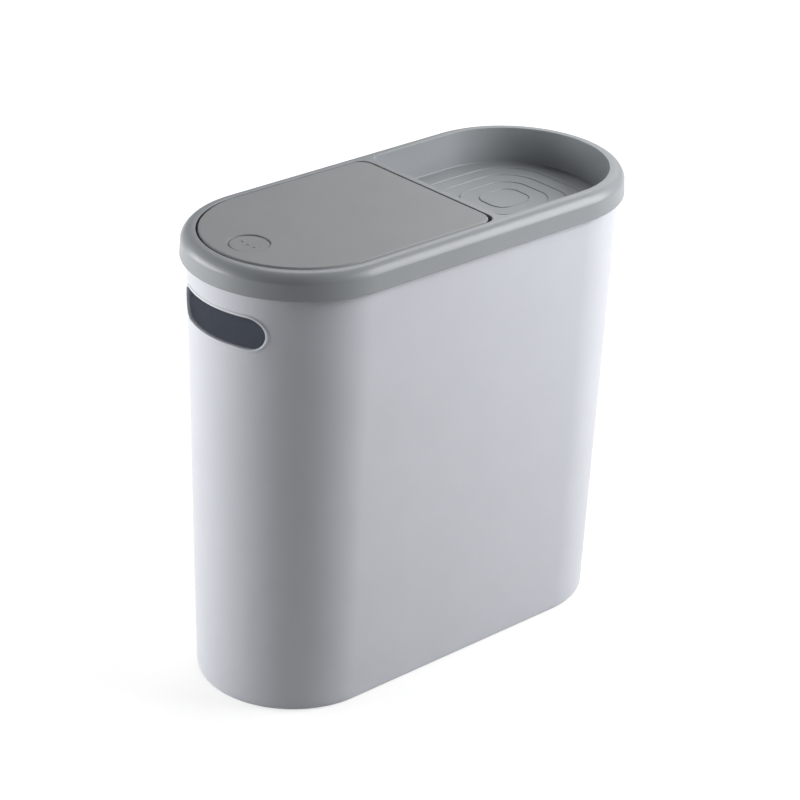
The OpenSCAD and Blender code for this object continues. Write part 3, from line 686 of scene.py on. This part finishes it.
def add_hinge(skin):
    """The two feet behind the mouth and the four ears that hold the rod."""
    x_wall = MOUTH_X + LID_WALL / 2
    foot = rounded([(AXIS_X - EAR_R, FOOT_LOW), (x_wall, FOOT_LOW, 0), (x_wall, FOOT_TOP, 0),
                    (AXIS_X - EAR_R, FOOT_TOP)], 0.5)
    ear = [(AXIS_X + EAR_R, FOOT_TOP - 1.0), *arc(AXIS_X, AXIS_Z, EAR_R, 0, 180, HINGE_STEPS),
           (AXIS_X - EAR_R, FOOT_TOP - 1.0)]
    for s in (1, -1):
        skin.block(foot, *sorted((s * EARS_Y[0], s * (EARS_Y[1] + EAR_T))), along_y, 0.4)
        for y in EARS_Y:
            skin.block(ear, *sorted((s * y, s * (y + EAR_T))), along_y, 0.25,
                       holes=[circle(BORE_R, AXIS_X, AXIS_Z)])


def add_shelf(skin):
    """The latch's shelf with its window and two screw holes."""
    front = SHELF_PAST - LATCH_X
    shelf = rounded([(-SHELF_END, -SHELF_HALF, 0), (front, -SHELF_HALF), (front, SHELF_HALF),
                     (-SHELF_END, SHELF_HALF, 0)], 2.0)
    hx, hy = WINDOW_HALF
    window = rounded([(sx * hx - LATCH_X, sy * hy) for sx, sy in ((-1, -1), (1, -1), (1, 1), (-1, 1))], 0.6)
    screws = [circle(LATCH_SCREW_R, -LATCH_X, y, 24) for y in (LATCH_SCREW_Y, -LATCH_SCREW_Y)]
    skin.block(shelf, SHELF_Z, SHELF_Z + SHELF_T, along_z, 0.35, holes=[window, *screws])


def line_outline(half_x, half_y, r):
    """A rectangle with round corners in the tray."""
    pts = []
    for sx, sy, a0 in ((1, 1, 0), (-1, 1, 90), (-1, -1, 180), (1, -1, 270)):
        pts += arc(LINES_X + sx * (half_x - r), sy * (half_y - r), r, a0, a0 + 90, 14)
    return pts


def add_lines(skin):
    """The raised lines in the tray, each a round-cornered loop 3 mm shorter in y than in x."""
    for i in range(LINE_COUNT):
        hx = LINE_HALF + LINE_STEP * i
        hy = hx - 3.0
        r = hy * 0.72
        skin.rings([at(line_outline(hx + out, hy + out, r + out), RIM_TOP - TRAY_DEPTH + h)
                    for out, h in LINE_SECTION], around=True)


def lid_shell():
    skin = Skin()
    crest = stadium(MOUTH_R + CREST_W)
    under = RIM_TOP - LID_WALL
    skin.rings([at(stadium(r), z) for r, z in rim_path()])
    skin.fill([crest, mouth(SOFT), tray(SOFT)], RIM_TOP)
    skin.fill([crest, mouth(LID_WALL), tray(LID_WALL)], under)
    skin.rings([at(mouth(out), z) for out, z in mouth_path(under)])
    add_tray(skin, under)
    skin.rings([at(stadium(r), z) for r, z in SEAT_RIB], around=True)
    add_hinge(skin)
    add_shelf(skin)
    add_lines(skin)
    return skin.build("lid_shell", lid_mat, "lid")


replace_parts(lid_shell(), "lid_frame")


# ---------------------------------------------------------------- flap
# The flap's bevel and the edge that hangs down round it: (outwards, z)
TOP_EDGE = [(-FLAP_BEVEL, FLAP_TOP), (-FLAP_BEVEL + 0.12, FLAP_TOP - 0.02),
            (-FLAP_BEVEL + 0.24, FLAP_TOP - 0.12), (-0.12, FLAP_TOP - FLAP_BEVEL + 0.24),
            (-0.02, FLAP_TOP - FLAP_BEVEL + 0.12), (0.0, FLAP_TOP - FLAP_BEVEL), (0.0, PLATE_Z)]
HANGING_EDGE = [(0.0, PLATE_Z), (0.0, EDGE_Z + 0.35), (-0.1, EDGE_Z + 0.1), (-0.35, EDGE_Z),
                (-EDGE_T + 0.35, EDGE_Z), (-EDGE_T + 0.1, EDGE_Z + 0.1), (-EDGE_T, EDGE_Z + 0.35),
                (-EDGE_T, PLATE_Z)]

# The round mark, a dish with a groove at its edge, and a dot in it: (radius, z from the flap's top)
DISH = [(MARK_R + 0.4, 0.0), (MARK_R + 0.15, -0.04), (MARK_R, -0.16), (MARK_R - 0.08, -0.5),
        (MARK_R - 0.14, -1.05), (MARK_R - 0.3, -1.25), (MARK_R - 0.6, -1.25), (MARK_R - 0.95, -1.0),
        (MARK_R - 1.35, -0.72), (MARK_R - 1.8, -0.62)]
DISH += [(r, -1.0 + 0.38 * (r / 13.7) ** 2) for r in (12.0, 10.0, 8.0, 6.0, 4.0, 2.0)]
DOT = [(1.45, -1.1), (1.45, -0.74), (1.34, -0.6), (1.05, -0.52), (0.6, -0.5)]
MARK_STEPS = 96

# A boss that takes a screw: (radius, z)
BOSS = [(1.2, LINER_TOP), (2.7, LINER_TOP), (3.0, LINER_TOP + 0.3), (3.0, PLATE_Z - 0.3),
        (3.4, PLATE_Z + 0.05)]
BOSS_STEPS = 28


def add_hanging_edge(skin):
    """The edge round the flap's underside, open towards the hinge, and the underside inside it."""
    whole = flap_line(0.0)
    hinge_side = [i for i, p in enumerate(whole) if p[0] >= EDGE_END - 1e-6]
    first, last = hinge_side[0], hinge_side[-1]

    def held(out):
        line = flap_line(out)
        return line[last:] + line[:first + 1]

    made = skin.rings([at(held(out), z) for out, z in HANGING_EDGE], closed=False)
    for end in (0, -1):
        skin.faces.append(tuple(loop[end] for loop in made))
    skin.fill([whole[first:last + 1] + held(-EDGE_T)], PLATE_Z)


def add_mark(skin):
    """The flap's top face with the dish and its three dots."""
    skin.rings([at(circle(r, -LATCH_X, 0.0, MARK_STEPS), FLAP_TOP + z) for r, z in DISH])
    skin.fill([circle(DISH[-1][0], -LATCH_X, 0.0, MARK_STEPS)], FLAP_TOP + DISH[-1][1])
    skin.fill([flap_line(-FLAP_BEVEL), circle(DISH[0][0], -LATCH_X, 0.0, MARK_STEPS)], FLAP_TOP)
    for y in (-DOT_STEP, 0.0, DOT_STEP):
        skin.rings([at(circle(r, -LATCH_X, y, 28), FLAP_TOP + z) for r, z in DOT])
        skin.fill([circle(DOT[-1][0], -LATCH_X, y, 28)], FLAP_TOP + DOT[-1][1])


def add_knuckles(skin):
    """The knuckles on the rod, and the bosses that take the screws."""
    top = PLATE_Z + 0.5
    knuckle = [(AXIS_X - KNUCKLE_R, top), *arc(AXIS_X, AXIS_Z, KNUCKLE_R, 180, 360, HINGE_STEPS),
               (AXIS_X + KNUCKLE_R, top)]
    bosses = ((OUTER_SCREW[0] - LATCH_X, OUTER_SCREW[1]), (AXIS_X - INNER_SCREW[0], INNER_SCREW[1]),
              (-LATCH_X, STRIKER_SCREW_Y))
    for s in (1, -1):
        skin.block(knuckle, *sorted(s * y for y in KNUCKLE_Y), along_y, 0.3,
                   holes=[circle(BORE_R, AXIS_X, AXIS_Z)])
        for x, y in bosses:
            skin.rings([at(circle(r, x, s * y, BOSS_STEPS), z) for r, z in BOSS])


def flap_shell():
    skin = Skin()
    skin.rings([at(flap_line(out), z) for out, z in TOP_EDGE])
    add_hanging_edge(skin)
    add_mark(skin)
    add_knuckles(skin)
    return skin.build("flap_shell", flap_mat, "flap")


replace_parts(flap_shell(), "flap_panel")


# ---------------------------------------------------------------- springs
def torsion_points():
    """The far torsion spring: a leg under the flap, the turns round the rod, a leg down to the foot."""
    length = TORSION_PITCH * TORSION_TURNS
    r = TORSION_R
    y0 = KNUCKLE_Y[1] + (SPRING_ROOM - length) / 2
    pts = [(AXIS_X - TORSION_LEG + TORSION_LEG / LEG_STEPS * i, y0, AXIS_Z + r) for i in range(LEG_STEPS)]
    for i in range(1, int(COIL_STEPS * TORSION_TURNS) + 1):
        a = math.radians(90 - 360 * i / COIL_STEPS)
        pts.append((AXIS_X + r * math.cos(a), y0 + TORSION_PITCH * i / COIL_STEPS, AXIS_Z + r * math.sin(a)))
    foot_x, foot_z = AXIS_X + r * 0.5, FOOT_TOP + LEG_GAP
    for k in range(1, LEG_STEPS + 1):
        t = k / LEG_STEPS
        x = foot_x + (AXIS_X + r - foot_x) * (1 - t) ** 2
        pts.append((x, y0 + length, AXIS_Z + (foot_z - AXIS_Z) * t))
    return pts


def torsion_spring(name, sign, node):
    skin = Skin()
    skin.tube([(x, sign * y, z) for x, y, z in torsion_points()], TORSION_WIRE_R)
    made = skin.build(name, spring_mat, None, WIRE_SHARP)
    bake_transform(made)
    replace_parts(made, node)


torsion_spring("near_spring_wire", -1, "torsion_spring_near")
torsion_spring("far_spring_wire", 1, "torsion_spring_far")


def latch_spring():
    """The spring between the housing's base cap and the slider."""
    low, high = BASE_CAP_Z + COIL_END, SLIDER_Z - COIL_END
    n = COIL_TURNS * COIL_STEPS
    path = []
    for i in range(n + 1):
        a = 2 * math.pi * i / COIL_STEPS
        path.append((COIL_R * math.cos(a) - LATCH_X, COIL_R * math.sin(a), low + (high - low) * i / n))
    skin = Skin()
    skin.tube(path, COIL_WIRE_R)
    made = skin.build("latch_spring_wire", spring_mat, "lid", WIRE_SHARP)
    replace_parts(made, "latch_spring")
    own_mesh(made)


latch_spring()


# ---------------------------------------------------------------- floor, light and camera
# The floor shows paler with its distance from the middle, in metres, and reflects like a mid grey
FLOOR_SIZE = 12.0
FLOOR_GREY = ((0.35, 0.35, 0.352), (0.36, 0.36, 0.362))
FLOOR_NEAR, FLOOR_FAR = 0.3, 1.5
FLOOR_GLOW = (0.72, 0.97)
WORLD_LIGHT = 0.12
AIM_Z = 0.2
PHOTO_PX = 800.0
SENSOR = 36.0


def math_node(t, operation, a, b):
    n = t.nodes.new("ShaderNodeMath")
    n.operation = operation
    t.links.new(a, n.inputs[0])
    t.links.new(b, n.inputs[1])
    return n.outputs[0]


def white_floor():
    """A floor that looks white to the camera, in gloss and through glass, and keeps the bin's shadow."""
    bpy.ops.mesh.primitive_plane_add(size=FLOOR_SIZE, location=(0, 0, 0))
    floor = bpy.context.object
    floor.name = "floor"
    m, t, out, coord = new_material("pale_floor")
    diffuse = t.nodes.new("ShaderNodeBsdfDiffuse")
    t.links.new(ramp(t, noise(t, coord, 3.0, 3.0), *FLOOR_GREY), diffuse.inputs["Color"])
    glow = t.nodes.new("ShaderNodeEmission")
    glow.inputs["Color"].default_value = (1, 1, 1, 1)
    rays = t.nodes.new("ShaderNodeLightPath").outputs
    seen = math_node(t, "MAXIMUM", rays["Is Camera Ray"], rays["Is Glossy Ray"])
    seen = math_node(t, "MAXIMUM", seen, rays["Is Transmission Ray"])
    away = t.nodes.new("ShaderNodeVectorMath")
    away.operation = "LENGTH"
    t.links.new(coord.outputs["Object"], away.inputs[0])
    paler = spread(t, away.outputs["Value"], *FLOOR_GLOW, FLOOR_NEAR, FLOOR_FAR)
    t.links.new(math_node(t, "MULTIPLY", seen, paler), glow.inputs["Strength"])
    add = t.nodes.new("ShaderNodeAddShader")
    t.links.new(diffuse.outputs[0], add.inputs[0])
    t.links.new(glow.outputs[0], add.inputs[1])
    t.links.new(add.outputs[0], out.inputs["Surface"])
    floor.data.materials.append(m)


def softbox(name, azimuth, elevation, white, far, wide, high):
    """An area light aimed at the bin; white is the brightness that it gives a white surface facing it."""
    a, e = math.radians(azimuth), math.radians(elevation)
    place = Vector((far * math.cos(a) * math.cos(e), far * math.sin(a) * math.cos(e),
                    AIM_Z + far * math.sin(e)))
    light = bpy.data.lights.new(name, "AREA")
    light.energy = white * math.pi ** 2 * far ** 2
    light.shape = "RECTANGLE"
    light.size = wide
    light.size_y = high
    o = bpy.data.objects.new(name, light)
    bpy.context.scene.collection.objects.link(o)
    o.location = place
    o.rotation_euler = (Vector((0, 0, AIM_Z)) - place).to_track_quat("-Z", "Y").to_euler()


def studio_world():
    """A weak even light, and plain white to the camera."""
    world = bpy.data.worlds.new("studio")
    bpy.context.scene.world = world
    world.use_nodes = True
    t = world.node_tree
    t.nodes.clear()
    out = t.nodes.new("ShaderNodeOutputWorld")
    mix = t.nodes.new("ShaderNodeMixShader")
    t.links.new(t.nodes.new("ShaderNodeLightPath").outputs["Is Camera Ray"], mix.inputs["Fac"])
    for socket, strength in ((1, WORLD_LIGHT), (2, 1.0)):
        white = t.nodes.new("ShaderNodeBackground")
        white.inputs["Color"].default_value = (1.0, 1.0, 1.0, 1)
        white.inputs["Strength"].default_value = strength
        t.links.new(white.outputs[0], mix.inputs[socket])
    t.links.new(mix.outputs[0], out.inputs["Surface"])


def photo_camera(az, el, roll, f, d, tx, ty, unit):
    """The camera found from the photo's outlines: azimuth, elevation and roll in degrees, focal length in
    pixels of the photo's frame, distance d in units of the rim's height, unit metres each, and the
    offset in pixels of the middle of that height."""
    a, e, r = (math.radians(v) for v in (az, el, roll))
    back = Vector((math.sin(a) * math.cos(e), -math.cos(a) * math.cos(e), math.sin(e)))
    level = Vector((math.cos(a), math.sin(a), 0))
    upright = back.cross(level)
    right = level * math.cos(r) + upright * math.sin(r)
    up = -level * math.sin(r) + upright * math.cos(r)
    place = Vector((0, 0, 0.5)) + right * (-tx * d / f) + up * (ty * d / f) + back * d
    data = bpy.data.cameras.new("photo_camera")
    data.sensor_width = SENSOR
    data.lens = f * SENSOR / PHOTO_PX
    data.clip_start, data.clip_end = 0.05, 50.0
    cam = bpy.data.objects.new("photo_camera", data)
    bpy.context.scene.collection.objects.link(cam)
    rows = [(right[i], up[i], back[i], place[i] * unit) for i in range(3)]
    cam.matrix_world = Matrix((*rows, (0, 0, 0, 1)))
    bpy.context.scene.camera = cam


white_floor()
softbox("left_softbox", 140.0, 9.0, 0.92, 1.25, 1.1, 0.55)
softbox("right_softbox", 316.0, 30.0, 1.08, 1.25, 0.8, 0.8)
softbox("back_softbox", 45.0, 55.0, 0.27, 1.7, 0.9, 0.9)
softbox("low_back_softbox", 30.0, 30.0, 0.12, 1.7, 0.9, 0.9)
studio_world()
photo_camera(az=-42.79, el=26.30, roll=2.10, f=2801.0, d=5.94, tx=1.63, ty=12.85, unit=0.3575)
bpy.context.scene.view_settings.view_transform = "Standard"
